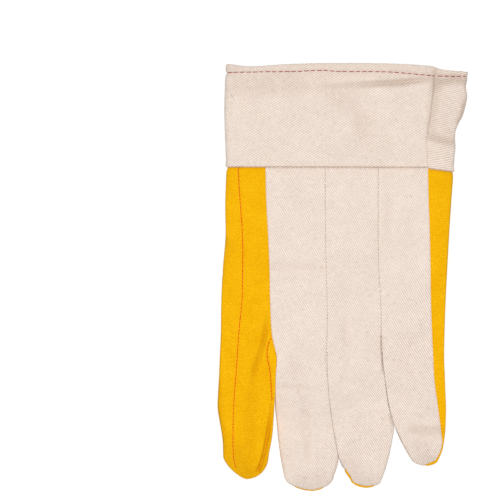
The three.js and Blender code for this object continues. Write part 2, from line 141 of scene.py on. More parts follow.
# The fingers below their crotches. Where two fingers touch, both have the same side.
FINGERS = [
    outlined([
        [-46, -75.3, -41], [-50, -75.5, -40.5], [-60, -75.9, -41.2], [-72, -76.6, -41.5],
        [-80, -76.8, -42], [-88, -75.6, -42.5], [-95, -74.4, -43], [-100, -73.7, -43.8],
        [-110, -73.4, -45.5],
    ], -123.8, -59, 1.4, 1.95),
    outlined([
        [-46, -41, -9.7], [-50, -40.5, -9.6], [-60, -41.2, -9.4], [-72, -41.5, -8.6],
        [-80, -41.4, -7.6], [-90, -40.4, -6.2], [-98, -39.7, -4.6], [-104, -39, -3.6],
        [-111, -38.1, -2.5], [-115, -37.4, -2.9], [-119, -36.6, -4.1], [-122.4, -35.8, -5.3],
    ], -131.6, -19, 1.72, 1.75),
    outlined([
        [-46, -9.7, 24.3], [-50, -9.6, 24.4], [-60, -9.4, 25.6], [-72, -8.6, 27],
        [-80, -7.6, 28.4], [-90, -6.2, 31.3], [-95, -5.3, 31.5], [-98, -4.6, 31],
        [-104, -3.6, 30], [-111, -2.4, 28.5], [-114, -1.3, 27.7], [-117.5, 0.4, 26.7],
        [-121.2, 2.6, 25.4], [-124.8, 5.1, 23.9],
    ], -129.6, 14.5, 1.7, 1.85),
    outlined([
        [-46, 24.3, 62.6], [-50, 24.4, 62.6], [-60, 25.6, 63], [-72, 27, 63.4],
        [-80, 28.4, 63.7], [-90, 31.3, 63.4], [-95, 33.4, 63.1], [-100, 35.5, 62.5],
        [-104, 37.6, 61.9], [-106.4, 39, 61.4], [-110.1, 41, 60], [-112.5, 42.7, 58.9],
    ], -116.1, 51, 1.5, 1.8),
]
# Where neighbouring fingers touch: number of the boundary, and the y of its first and last parting
TOUCHING = {1: (-70, -80), 2: (-103, -114), 3: (-89, -98)}
LITTLE_SEAM = table("y x", [
    [-46, 55.4], [-63, 56.3], [-76, 58.1], [-88, 59.7], [-98, 61.1], [-102, 61.3],
    [-106.4, 60.4], [-110, 58.9], [-113, 57], [-115.8, 51],
])
# Where the palm cloth shows as a rim round a finger's tip: middle, half width, rise, width seen
RIMS = {1: (-21, 10, 3.5, 0.3), 2: (8.5, 11.5, 5, 0.55)}
RIM_TOP = -117.5
# Sewn seam on the inner side of the index finger, and the column of points that it lies on
INDEX_SEAM = [
    [-36.5, -43.6], [-40.5, -45.6], [-44, -46.4], [-49.5, -46.3], [-55.7, -44.9],
    [-75.3, -43.4], [-81.5, -43.9], [-92, -45.4], [-106.1, -47.9], [-113, -49.7], [-119, -52],
]
INDEX_COLUMN = table("y x", [[67.5, -52], [20, -51], [-12, -48.5], [-28, -45], *INDEX_SEAM])
THUMB = outlined(
    [[3, -73.7, -21.2], [-15, -72.6, -22.4], [-32, -69.4, -22.8], [-46, -65.3, -21.2], [-54, -61.2, -21.8]],
    -67.4, -38.5, 1.7, 1.9,
)


def mix(a, b, share):
    return a + (b - a) * share


def stacked(*values):
    return np.stack(np.broadcast_arrays(*values), axis=-1)


def clamp(value):
    return np.clip(value, 0, 1)


def smooth(value):
    return clamp(value) ** 2 * (3 - 2 * clamp(value))


def rounded(place, power):
    """Height of a superellipse, exactly 0 at its ends."""
    height = np.maximum(0, 1 - np.abs(place) ** power) ** (1 / power)
    return np.where(np.abs(place) > 1 - EXACT, 0, height)


def under_share(place):
    """Height share of a flat underside whose edges turn up."""
    return np.minimum(1, rounded(place, UNDERSIDE) / rounded(FLAT_SHARE, UNDERSIDE))


def along(rows, column, place, key="y"):
    """Smooth curve through one column of a table, read at a place of another column."""
    order = np.argsort(rows[key])
    keys, values = rows[key][order], rows[column][order]
    last = len(keys) - 1
    each = np.arange(last + 1)
    after, before = np.minimum(each + 1, last), np.maximum(each - 1, 0)
    slopes = (values[after] - values[before]) / (keys[after] - keys[before])
    i = np.clip(np.searchsorted(keys, place), 1, last)
    span = keys[i] - keys[i - 1]
    t = clamp((place - keys[i - 1]) / span)
    bend = t * (1 - t) ** 2 * span * slopes[i - 1] - t * t * (1 - t) * span * slopes[i]
    return mix(values[i - 1], values[i], t * t * (3 - 2 * t)) + bend


def near_path(path, x, y):
    """From every point: the distance to a path of (x, y) points, and how far along it that is."""
    nearest, nearest_place = np.full(np.shape(x), np.inf), np.zeros(np.shape(x))
    lengths = [math.dist(one, other) for one, other in zip(path[:-1], path[1:])]
    before = 0
    for (x0, y0), (x1, y1), length in zip(path[:-1], path[1:], lengths):
        dx, dy = x1 - x0, y1 - y0
        t = clamp(((x - x0) * dx + (y - y0) * dy) / max(length * length, EXACT))
        distance = np.hypot(x - x0 - t * dx, y - y0 - t * dy)
        nearest_place = np.where(distance < nearest, (before + t * length) / sum(lengths), nearest_place)
        nearest = np.minimum(nearest, distance)
        before += length
    return nearest, nearest_place


def lift_share(x, y, fall=LIFT_FALL):
    aside = np.maximum(LIFT_LEFT - x, np.maximum(0, x - LIFT_RIGHT)) * LIFT_FALL / fall
    beyond = np.maximum(LIFT_LOW - y, np.maximum(0, y - THUMB_CROTCH_Y))
    return 1 - smooth(np.hypot(aside, beyond) / LIFT_FALL)


def cuff_share(y):
    return clamp((y - CUFF_SEAM_Y) / (MOUTH_Y - CUFF_SEAM_Y))


def thickness(y):
    cuff = mix(HAND_THICKNESS, MOUTH_THICKNESS, smooth(cuff_share(y)))
    finger = mix(HAND_THICKNESS, TIP_THICKNESS, clamp((CROTCH_Y - y) / FINGER_LENGTH))
    return np.where(y > CUFF_SEAM_Y, cuff, finger)


def palm_floor(x, y):
    return THUMB_LIFT * lift_share(x, y)


def back_crown(x, y):
    near_thumb = 1 - smooth((x - LIFT_RIGHT) / BACK_FALL)
    wrist = WRIST_RISE * near_thumb * smooth((y - WRIST_END) / (WRIST_START - WRIST_END))
    fall = STRIP_FALL * smooth((x - STRIP_START) / STRIP_RUN) * smooth((y - STRIP_LOW) / STRIP_RUN)
    return thickness(y) + mix(wrist, BACK_RISE_SHARE * THUMB_LIFT, lift_share(x, y, BACK_FALL)) - fall


def crotch_valley(y):
    return smooth((CROTCH_Y + CROTCH_DEPTH - y) / CROTCH_DEPTH) ** 2


def finger_top(y):
    return mix(FINGER_TOP, TIP_TOP, smooth((TIP_TOP_START - y) / TIP_TOP_RUN))


def back_valley(y):
    dent = STITCHED_DENT * smooth((CUFF_SEAM_Y - y) / STITCHED_RUN_IN)
    return mix(dent, 1, crotch_valley(y))


def outer_valley(y):
    """Share of a finger's own roundness at the hand's outer sides, which begins far before it."""
    return np.maximum(back_valley(y), smooth((CROTCH_Y + SHOULDER_RUN - y) / SHOULDER_RUN))


def contact_level(lane, place, y, level, crown):
    """Height of a finger's side: close below its back where it touches the next finger."""
    for boundary, (start, end) in TOUCHING.items():
        beside = np.where(place < 0, lane, lane + 1) == boundary
        share = beside * smooth((y - end) / (start - end))
        level = mix(level, np.maximum(level, crown - CONTACT_DEPTH), share)
    return level


def web_share(y):
    return smooth((THUMB_CROTCH_Y - y) / WEB_DEPTH)


def left_side_height(y, crown):
    low = mix(THUMB_LIFT, (THUMB_LIFT + crown) / 2, web_share(y))
    return np.where(y > THUMB_CROTCH_Y, crown / 2, low)


def outline_x(side, y):
    return np.where(y > CUFF_SEAM_Y, along(CUFF, side, y), along(HAND, side, y))


def lane_edges(y):
    seams = ("index_middle", "middle_ring", "ring_little")
    inner = [along(HAND, seam, np.minimum(y, CUFF_SEAM_Y)) for seam in seams]
    return [outline_x("left", y), *inner, outline_x("right", y)]


def hand_points(lane, place, y, is_top):
    """Points of one lane of the hand or the cuff; place is -1 to 1 across the lane."""
    edges = lane_edges(y)
    left, right = edges[lane], edges[lane + 1]
    middle, half = (edges[0] + edges[4]) / 2, (edges[4] - edges[0]) / 2
    x = (left + right) / 2 + (right - left) / 2 * place
    out = np.abs(x - middle) / half
    near_mouth = smooth(cuff_share(y))
    sag = MOUTH_SIDE_FALL * out ** 4 + MOUTH_WAVE * np.cos((x + 4) * 2 * math.pi / MOUTH_WAVE_LENGTH)
    floor, crown = palm_floor(x, y), back_crown(x, y) - near_mouth * sag
    inner = (floor + crown) / 2
    side = np.where(x < middle, left_side_height(y, crown), inner)
    outer = (lane == 0) & (place < 0) | (lane == 3) & (place > 0)
    lane_side = np.where(outer, side, contact_level(lane, place, y, inner, crown))
    if is_top:
        whole = mix(side, crown, rounded(clamp(out), mix(HAND_EDGE, MOUTH_EDGE_POWER, near_mouth)))
        single = mix(lane_side, crown, rounded(place, finger_top(y)))
        outward = outer * smooth(np.abs(place) * 2)
        z = mix(whole, single, mix(back_valley(y), outer_valley(y), outward))
    else:
        whole = np.where(outer, under_share(place), 1)
        z = mix(lane_side, floor, mix(whole, under_share(place), crotch_valley(y)))
    in_cuff = mix(CUFF_SEAM_Y, along(MOUTH_EDGE, "y", x, "x"), cuff_share(y))
    return stacked(x, np.where(y > CUFF_SEAM_Y, in_cuff, y), z)


def sides_at(finger, y):
    rows, (tip_y, tip_x, left_power, right_power) = finger
    end_y = rows["y"][-1]
    s = clamp((end_y - y) / (end_y - tip_y))
    left, right = (
        np.where(y >= end_y, along(rows, side, y), mix(tip_x, rows[side][-1], rounded(s, power)))
        for side, power in (("left", left_power), ("right", right_power))
    )
    apart = np.where(y < rows["y"][0], FINGERS_APART, 0)
    return left + apart, right - apart, rounded(clamp((tip_y + TIP_RUN - y) / TIP_RUN), TIP_ROUNDNESS)


def finger_points(lane, place, y, is_top):
    left, right, share = sides_at(FINGERS[lane], y)
    x = (left + right) / 2 + (right - left) / 2 * place
    floor, crown = palm_floor(x, y), back_crown(x, y)
    if lane == 0:
        reach = smooth((CROTCH_Y - y) / INDEX_TIP_REACH)
        floor = mix(THUMB_LIFT, INDEX_TIP_FLOOR, reach)
        crown = mix(HAND_THICKNESS + BACK_RISE_SHARE * THUMB_LIFT, INDEX_TIP_CROWN, reach)
        crown = crown - INDEX_DROOP * clamp((INDEX_DROOP_Y - y) / 26) ** 1.5
    half = (crown - floor) / 2
    level = floor + mix(TIP_LEVEL * 2 * half, half, share)
    side = contact_level(lane, place, y, level, level + half * share)
    if is_top:
        z = mix(side, level + half * share, rounded(place, finger_top(y)))
    else:
        z = mix(side, level - np.minimum(half * share, level - floor), under_share(place))
    return stacked(x, y, z)


def spread(start, end, count, ends=0.5):
    """count + 1 places from start to end, closer together at both ends."""
    t = np.linspace(0, 1, count + 1)
    return mix(start, end, mix(t, 0.5 - 0.5 * np.cos(math.pi * t), ends))


# Rows along the glove
CUFF_ROWS = np.hstack([spread(MOUTH_Y, 121, 22, 0.8), spread(121, CUFF_SEAM_Y, 56, 0.8)[1:]])
HAND_ROWS = np.hstack([
    spread(CUFF_SEAM_Y, 45, 26, 0.8), spread(45, THUMB_CROTCH_Y, 40, 0)[1:],
    spread(THUMB_CROTCH_Y, CROTCH_Y, 48, 0.3)[1:],
])
CROTCH_BAND_ROWS = 7
SHOULDER_RUN = 70
RIM_FALL = 6
TIP_ROWS = 22


def finger_rows(finger):
    rows, tip = finger
    start, end = rows["y"][0], rows["y"][-1]
    shaft = spread(start, end, int(start - end), 0.2)
    turn = np.linspace(0, math.pi / 2, TIP_ROWS + 1)[1:]
    return np.hstack([shaft, mix(end, tip[0], np.sin(turn))])


# Columns across one lane, as places from -1 to 1
COLUMN_ROOM = 2
TOP_CELLS = 40
STRIP_CELLS = 14
LANE_CELLS = TOP_CELLS + STRIP_CELLS
WRAP_CELLS = 6
FLAT_CELLS = 24
UNDER_CELLS = FLAT_CELLS + 2 * WRAP_CELLS
THUMB_SEAM_PLACE = 0.36
THUMB_SEAM_CELL = 16
TIP_SEAM_PLACE = 0.95


def top_places(lane, y, left, right, seam_x):
    if lane in (1, 2):
        return np.broadcast_to(spread(-1, 1, LANE_CELLS, 0.7), (len(y), LANE_CELLS + 1))
    if lane == 0:
        seam_x = np.minimum(along(INDEX_COLUMN, "x", y), right - COLUMN_ROOM)
    seam = np.clip((seam_x - left) / np.maximum(right - left, EXACT) * 2 - 1, -0.5, 0.97)
    return np.hstack([spread(-1, seam, TOP_CELLS), spread(seam, 1, STRIP_CELLS)[:, 1:]])


def under_places(lane, y, share=1):
    """Under columns, with side seams that near the outline at the tip."""
    seam = mix(TIP_SEAM_PLACE, FLAT_SHARE, share) + 0 * y
    flat = spread(-1, 1, FLAT_CELLS, 0)
    if lane == 1:
        thumb_seam = THUMB_SEAM_PLACE / FLAT_SHARE
        right_part = spread(thumb_seam, 1, FLAT_CELLS - THUMB_SEAM_CELL, 0)
        flat = np.hstack([spread(-1, thumb_seam, THUMB_SEAM_CELL, 0), right_part[1:]])
    left_wrap, right_wrap = spread(-1, -seam, WRAP_CELLS, 0), spread(seam, 1, WRAP_CELLS, 0)
    return np.hstack([left_wrap[:, :-1], flat * seam, right_wrap[:, 1:]])


# The whole outer surface, patch by patch. Points that coincide are welded, so that normals
# and relief run on across every seam.
PIECES = ["back_panel", "palm_panel", "thumb", "cuff_back", "cuff_palm"]
BACK, PALM, THUMB_PIECE, CUFF_BACK, CUFF_PALM = range(5)
patches = []


def arc(points):
    """Length along each row from its first column."""
    steps = np.linalg.norm(np.diff(points[..., [0, 2]], axis=1), axis=-1)
    return np.hstack([np.zeros((len(points), 1)), np.cumsum(steps, axis=1)])


def add_patch(points, cloth_u, owner, is_top):
    owner = np.broadcast_to(owner, (len(points) - 1, points.shape[1] - 1))
    patches.append((points, stacked(cloth_u, points[..., 1]), owner, is_top))


def whole_row(y, is_top):
    """The four lanes of the hand or cuff side by side, and the lane and cell of each column."""
    y = y[:, None]
    edges = lane_edges(y)
    parts = []
    for lane in range(4):
        place = under_places(lane, y)
        if is_top:
            place = top_places(lane, y, *edges[lane:lane + 2], outline_x("side", y))
        parts.append(hand_points(lane, place, y, is_top)[:, min(lane, 1):])
    cells = LANE_CELLS if is_top else UNDER_CELLS
    return np.hstack(parts), np.repeat(range(4), cells), np.tile(range(cells), 4)


def wraps(lanes, cells):
    """Where the back's cloth can wrap round a left and a right side, and each cell's place from it."""
    near_left = (cells < WRAP_CELLS) & (lanes > 0)
    near_right = (cells >= UNDER_CELLS - WRAP_CELLS) & np.isin(lanes, (1, 2))
    return near_left, near_right, np.where(near_left, cells, UNDER_CELLS - 1 - cells)


def add_hand():
    rows = np.hstack([CUFF_ROWS, HAND_ROWS[1:]])
    is_cuff = rows[:-1, None] > CUFF_SEAM_Y
    top, lanes, cells = whole_row(rows, True)
    strip = (lanes == 3) & (cells >= TOP_CELLS)
    owner = np.where(
        is_cuff, np.where(strip, CUFF_PALM, CUFF_BACK), np.where(strip | (lanes == 0), PALM, BACK)
    )
    length = arc(top)
    centre = np.minimum(np.arange(top.shape[1]) // LANE_CELLS, 3) * LANE_CELLS + TOP_CELLS // 2
    top_u = length - length[:, centre] + top[:, centre, 0]
    add_patch(top, top_u, owner, True)

    under, lanes, cells = whole_row(rows, False)
    near_left, near_right, wrap_cell = wraps(lanes, cells)
    from_crotch = np.arange(len(rows) - 2, -1, -1)[:, None] / CROTCH_BAND_ROWS
    at_crotch = wrap_cell < WRAP_CELLS * rounded(from_crotch, 2)
    before_thumb = ~is_cuff & (rows[:-1, None] > THUMB_CROTCH_Y)
    on_thumb = (lanes == 0) | ((lanes == 1) & (cells < WRAP_CELLS + THUMB_SEAM_CELL))
    owner = np.where(is_cuff, CUFF_PALM, np.where(at_crotch & (near_left | near_right), BACK, PALM))
    owner = np.where(before_thumb & on_thumb, -1, owner)
    length = arc(under)
    add_patch(under, top_u[:, -1:] + length[:, -1:] - length, owner, False)
    return top, top_u


def rim_start(has_rim, side_x, y):
    """First cell of palm cloth beside the outline in each row, which nears the outline at a rim."""
    place = np.cumsum(np.hypot(np.diff(side_x[:, 0]), np.diff(y[:, 0])))
    away = np.abs(place[:, None] - place[None, has_rim]).min(axis=1, initial=RIM_FALL)
    return np.ceil(WRAP_CELLS * np.sqrt(clamp(away / RIM_FALL)))[:, None]


def add_fingers(top, top_u):
    for lane, finger in enumerate(FINGERS):
        y = finger_rows(finger)[:, None]
        left, right, share = sides_at(finger, y)
        place = top_places(lane, y, left, right, along(LITTLE_SEAM, "x", y))
        upper = finger_points(lane, place, y, True)
        start, centre = lane * LANE_CELLS, TOP_CELLS // 2
        upper[0] = top[-1, start:start + LANE_CELLS + 1]
        length = arc(upper)
        upper_u = length - length[:, centre:centre + 1] + top_u[-1, start + centre]
        cells = np.arange(LANE_CELLS)
        of_palm = (lane == 0) | ((lane == 3) & (cells >= TOP_CELLS))
        is_rim = np.zeros((len(y) - 1, LANE_CELLS), bool)
        if lane in RIMS:
            middle_x, half_width, rise, width = RIMS[lane]
            outline = np.vstack([stacked(left, y)[:, 0], stacked(right, y)[::-1, 0]])
            cell_x, cell_y, cell_z = np.moveaxis((upper[:-1, :-1] + upper[1:, 1:]) / 2, -1, 0)
            to_outline, _ = near_path(outline, cell_x, cell_y)
            below_arch = cell_z - upper[:-1, :1, 2] < rise * rounded((cell_x - middle_x) / half_width, 2)
            is_rim = below_arch & (to_outline < width) & (cell_y < RIM_TOP)
        add_patch(upper, upper_u, np.where(of_palm | is_rim, PALM, BACK), True)

        lower = finger_points(lane, under_places(lane, y, smooth(share * 1.6 - 0.3)), y, False)
        length = arc(lower)
        near_left, near_right, wrap_cell = wraps(lane, np.arange(UNDER_CELLS))
        left_u = upper_u[:, :1] - length
        right_u = upper_u[:, -1:] + length[:, -1:] - length
        lower_u = np.where(np.arange(lower.shape[1]) < lower.shape[1] // 2, left_u, right_u)
        by_rim = near_left & (wrap_cell >= rim_start(is_rim[:, 0], left, y))
        by_rim |= near_right & (wrap_cell >= rim_start(is_rim[:, -1], right, y))
        owner = np.where((near_left | near_right) & ~by_rim, BACK, PALM)
        add_patch(lower, lower_u, owner, False)


def add_thumb():
    crotch = int(np.argmin(np.abs(HAND_ROWS - THUMB_CROTCH_Y)))
    columns = UNDER_CELLS + WRAP_CELLS + THUMB_SEAM_CELL
    base = whole_row(HAND_ROWS[:crotch + 1], False)[0][:, :columns + 1]
    turn = np.cos(math.pi * np.arange(columns + 1) / columns)
    place = (-np.sign(turn) * np.abs(turn) ** 0.8)[None, :]
    own = smooth(np.arange(crotch + 1) / crotch)[:, None]
    first, last = base[:, :1], base[:, -1:]
    x = mix(base[..., 0], mix(first[..., 0], last[..., 0], (place + 1) / 2), own)
    end = np.where(place < 0, first[..., 2], last[..., 2])
    z = mix(base[..., 2], end * (1 - under_share(place)), own)
    bottom = np.hstack([first, stacked(x, base[..., 1], z)[:, 1:-1], last])
    add_patch(bottom, bottom[..., 0], THUMB_PIECE, False)

    y = finger_rows(THUMB)[:, None]
    left, right, share = sides_at(THUMB, y)
    level = THUMB_THICKNESS / 2
    side = mix(THUMB_LIFT, level, web_share(y))
    crown = mix(THUMB_LIFT, THUMB_THICKNESS, web_share(y))
    upper, lower = mix(side, crown, rounded(place, THUMB_TOP)), mix(side, 0, under_share(place))
    for start, height, is_top in ((base, upper, True), (bottom, lower, False)):
        points = stacked(mix(left, right, (place + 1) / 2), y, mix(level, height, share))
        points[0] = start[-1]
        add_patch(points, points[..., 0], THUMB_PIECE, is_top)


add_fingers(*add_hand())
add_thumb()

raw_points, raw_cloth = np.zeros((0, 3)), np.zeros((0, 2))
corners, owners = [], []
for points, cloth, owner, is_top in patches:
    index = len(raw_points) + np.arange(cloth[..., 0].size).reshape(cloth.shape[:2])
    a, b, c, d = index[:-1, :-1], index[1:, :-1], index[1:, 1:], index[:-1, 1:]
    quads = stacked(*(a, b, c, d)[::1 if is_top else -1])[owner >= 0]
    corners += [quads[:, [0, 1, 2]], quads[:, [0, 2, 3]]]
    owners += [owner[owner >= 0]] * 2
    raw_points = np.vstack([raw_points, points.reshape(-1, 3)])
    raw_cloth = np.vstack([raw_cloth, cloth.reshape(-1, 2)])
corners, owners = np.vstack(corners), np.hstack(owners)

WELD = 0.01
WELD_SHIFT = 0.123
places = np.round(raw_points / WELD + WELD_SHIFT).astype(np.int64)
_, unique, weld = np.unique(places, axis=0, return_index=True, return_inverse=True)
base_points = raw_points[unique]
triangles = weld.reshape(-1)[corners]
whole = np.all(triangles != np.roll(triangles, -1, axis=1), axis=1)
triangles, corners, owners = triangles[whole], corners[whole], owners[whole]


def half_edges(faces):
    return np.vstack([faces[:, [0, 1]], faces[:, [1, 2]], faces[:, [2, 0]]])


def unit(directions):
    return directions / np.maximum(np.linalg.norm(directions, axis=1, keepdims=True), EXACT)


def vertex_normals(points, faces):
    """Area-weighted normals of a triangulated surface."""
    a, b, c = points[faces.T]
    areas = np.cross(b - a, c - a).T
    return unit(stacked(*[sum(np.bincount(i, area, len(points)) for i in faces.T) for area in areas]))


def smoothed(directions, rounds):
    """Unit directions averaged with their neighbours', so that narrow grooves don't tilt them."""
    start, end = half_edges(triangles).T
    count = np.bincount(start, minlength=len(directions)) + 1
    for _ in range(rounds):
        summed = [np.bincount(start, values[end], len(directions)) for values in directions.T]
        directions = unit((directions + stacked(*summed)) / count[:, None])
    return directions


# Sewn lines along the glove: y, x in the picture plane
INDEX_QUILTING = [
    [67.3, -64.3], [47.7, -63], [25.5, -61.5], [6.5, -61.4], [-13.8, -61.8], [-26.1, -63],
    [-41.5, -64.3], [-60, -65.5], [-75.3, -66.7], [-93.8, -67.3], [-109.2, -67], [-117, -65.6],
]
MIDDLE_RING = [
    [67, -10.8], [40, -10.8], [11, -10.4], [-26, -9.5], [-38, -9.9], [-51, -10.4], [-66, -9.1],
    [-80, -7.8], [-104, -4],
]
RING_LITTLE = [
    [67, 21.8], [10, 21.9], [-8, 23], [-26, 23.7], [-37, 23.6], [-48, 23.9], [-55, 24.4],
    [-61, 25.6], [-67, 26.8], [-75, 27.9], [-87, 30.5],
]
OPENED_STITCHES = [[-36.5, 23.6], [-48, 23.9], [-55, 24.4]]
QUILTING = {
    PALM: [
        [[2, -60.5], [-46, -60.5], [-80, -60], [-117, -60]],
        [[2, -35.4], [-20, -36], [-42, -40]],
        [[66, -10.2], [20, -10.4], [-20, -12.5], [-46, -18.5], [-70, -23], [-120, -21]],
        [[66, 15], [10, 14.6], [-46, 10.5], [-90, 9], [-125, 14]],
        [[66, 40.5], [10, 41.5], [-46, 44.5], [-80, 46], [-111, 49]],
    ],
    THUMB_PIECE: [
        [[65, -47], [20, -45.5], [-30, -43], [-62, -40]],
        [[65, -66.5], [20, -66], [-10, -64.5], [-38, -57.5], [-57, -50]],
    ],
}
HEM_LINE = table("x y", [
    [-71.5, 125.7], [-52, 125.9], [-30, 126], [-12, 126.8], [-2, 126.2], [20, 126.1],
    [32, 125.8], [44, 124.8], [51, 124.2], [58, 123.85], [76.5, 123.7],
])
HEM_DEPTH = 7
CANVAS_THICKNESS = 1.1
FLANNEL_THICKNESS = 1.9
HEM_THICKNESS = 2.3
SIDE_THICKNESS = 1
SIDE_REACH = 6
EDGE_CLOSED = 0.98
WAVE_HEIGHT = 14

base_normals = vertex_normals(base_points, triangles)
x, y, z = base_points.T
above, below = smooth(base_normals[:, 2] * 2), smooth(-base_normals[:, 2] * 2)
point_owner = np.zeros(len(base_points), int)
point_owner[triangles] = owners[:, None]
relief, valley, lip, shade, crease_and_slope_shade, touch, touch_run = np.zeros((7, len(base_points)))


def waves(width, length, count=18):
    """Seeded soft waves of about unit height, of the given sizes across and along the glove."""
    total = 0
    for _ in range(count):
        kx, ky, kz = random.normal(size=3) * (1 / width, 1 / length, 1 / WAVE_HEIGHT)
        total += np.cos(2 * math.pi * (kx * x + ky * y + kz * z + random.rand()))
    return total / math.sqrt(count / 2)


def off_line(rows, side, fade=4):
    """Distance across a lengthwise line, and its strength, which fades at both ends."""
    line = table("y x", rows)
    low, high = line["y"].min(), line["y"].max()
    reach = smooth((y - low) / fade + 1) * smooth((high - y) / fade + 1)
    return x - along(line, "x", y), reach * side


def hill(distance, half_width):
    """A smooth hill of unit height across a line or a path."""
    return np.exp(-(distance / half_width) ** 2)


def slack(across, half_width):
    """Cloth that falls away to a line from both sides, to a unit depth."""
    return np.exp(-np.abs(across) / half_width)


def seam_distance(one, other):
    """Distance from every point to the seam between two pieces."""
    total = len(base_points)
    edges = [np.sort(half_edges(triangles[owners == piece]), axis=1) @ (total, 1) for piece in (one, other)]
    shared = np.intersect1d(*edges)
    steps = np.linspace(0, 1, 4, endpoint=False)[:, None, None]
    samples = mix(base_points[shared // total], base_points[shared % total], steps).reshape(-1, 3)
    tree = KDTree(len(samples))
    for i, sample in enumerate(samples.tolist()):
        tree.insert(sample, i)
    tree.balance()
    distance = np.full(total, np.inf)
    for i in np.flatnonzero(np.isin(point_owner, (one, other))).tolist():
        distance[i] = tree.find(base_points[i].tolist())[2]
    return distance


# Seams: the pieces either side, the depth of the valley, and its width on each side
BAND_SEAMS = [(CUFF_BACK, BACK), (CUFF_BACK, PALM), (CUFF_PALM, PALM), (CUFF_PALM, THUMB_PIECE)]
SEAMS = [(*pair, 1.5, 0.35, 0.9) for pair in BAND_SEAMS] + [
    (CUFF_BACK, CUFF_PALM, 0.7, 0.5, 1.2), (BACK, PALM, 0.6, 0.5, 0.8),
    (THUMB_PIECE, PALM, 0.8, 0.9, 0.9),
]
CUFF_FOLD_X = -60
SCALLOP_PITCH = 2.8
LIP_HEIGHT = 0.45
LIP_PLACE = 1.3
LIP_WIDTH = 1.1
SHADE_WIDTH = 0.45
SEAM_OPENS_Y = -70
SEAM_OPENING = 30
LINE_PITCH = 1.9
HEM_PITCH = 4.03
for one, other, depth, width, other_width in SEAMS:
    distance = seam_distance(one, other)
    wide = np.where(point_owner == one, width, other_width)
    strength = depth * (1 + 0.16 * np.cos((x + y) * 2 * math.pi / SCALLOP_PITCH))
    if (one, other) == (CUFF_BACK, CUFF_PALM):
        strength = strength * smooth((x - CUFF_FOLD_X) / 10)
    valley = np.maximum(valley, strength * slack(distance, wide))
    # Painted shade along the seam, standing for the shadow in its valley
    shade = np.maximum(shade, 0.3 * strength * hill(distance, SHADE_WIDTH))
    if (one, other) in BAND_SEAMS:
        lip = np.maximum(lip, np.where(point_owner == one, hill(distance - LIP_PLACE, LIP_WIDTH), 0))
relief += LIP_HEIGHT * lip - valley

# Quilting channels of the napped cloth, and the sewn lines on the back
CHANNELS = [(piece, rows, below, 0.45, 0.8, 3) for piece in QUILTING for rows in QUILTING[piece]]
CHANNELS += [(PALM, INDEX_QUILTING, above, 0.3, 0.6, 2.5)]
for piece, rows, side, depth, width, rest_width in CHANNELS:
    across, reach = off_line(rows, side * (point_owner == piece))
    relief -= reach * depth * (hill(across, width) + slack(across, rest_width))
across, reach = off_line(INDEX_SEAM, above * (point_owner == PALM), 2)
opened = smooth((SEAM_OPENS_Y - y) / SEAM_OPENING)
relief -= reach * mix(0.5, 1.9, opened) * hill(across, mix(0.65, 1.1, opened))
relief += reach * 0.3 * opened * hill(across - 2.4, 1.4)
# Painted shade in the opened index seam groove
shade = np.maximum(shade, reach * opened * 0.4 * hill(across - 0.6, 1.7))
# Sewn lines on the back: depth of the groove, and strength of the painted shade along it, dotted at the
# stitch pitch
for rows, depth, painted_darkness in (
    (MIDDLE_RING, 0.15, 0.1), (RING_LITTLE, 0.12, 0.2), (OPENED_STITCHES, 0.45, 1.9)
):
    across, reach = off_line(rows, above * np.isin(point_owner, (BACK, PALM)))
    relief -= reach * (depth * np.exp(-(np.abs(across) / 0.55) ** 1.5) + 0.12 * slack(across, 3))
    dotted = painted_darkness * (0.65 + 0.35 * np.cos(y * 2 * math.pi / LINE_PITCH))
    shade = np.maximum(shade, reach * dotted * hill(across, SHADE_WIDTH))

# Hem: a puffed band with painted shade over it, the sewn line below it, and the rounded edge of the mouth
edge_distance = np.maximum(0, along(MOUTH_EDGE, "y", x, "x") - y)
is_cuff = np.isin(point_owner, (CUFF_BACK, CUFF_PALM))
off_hem = along(HEM_LINE, "y", x, "x") - y
hem_puff = np.sin(math.pi * clamp(edge_distance / 5)) * 0.4
hem_groove = hill(off_hem, 0.75) * (0.5 + 0.15 * np.cos(x * 2 * math.pi / HEM_PITCH))
relief += is_cuff * (hem_puff - hem_groove - 0.25 * slack(off_hem, 3))
hem_share = 1 - smooth((edge_distance - HEM_DEPTH + 1) / 2)
side_room = np.minimum(x - along(CUFF, "left", y), along(CUFF, "right", y) - x)
cuff_thickness = mix(
    SIDE_THICKNESS, mix(CANVAS_THICKNESS, HEM_THICKNESS, hem_share), smooth(side_room / SIDE_REACH)
)
edge_radius = cuff_thickness / 2
edge_turn = edge_radius - np.sqrt(edge_radius ** 2 - np.maximum(0, edge_radius - edge_distance) ** 2)
relief -= is_cuff * edge_turn
# Painted shade over the puffed hem band
shade = np.maximum(shade, 0.12 * is_cuff * (1 - smooth((edge_distance - HEM_DEPTH) / 4)))
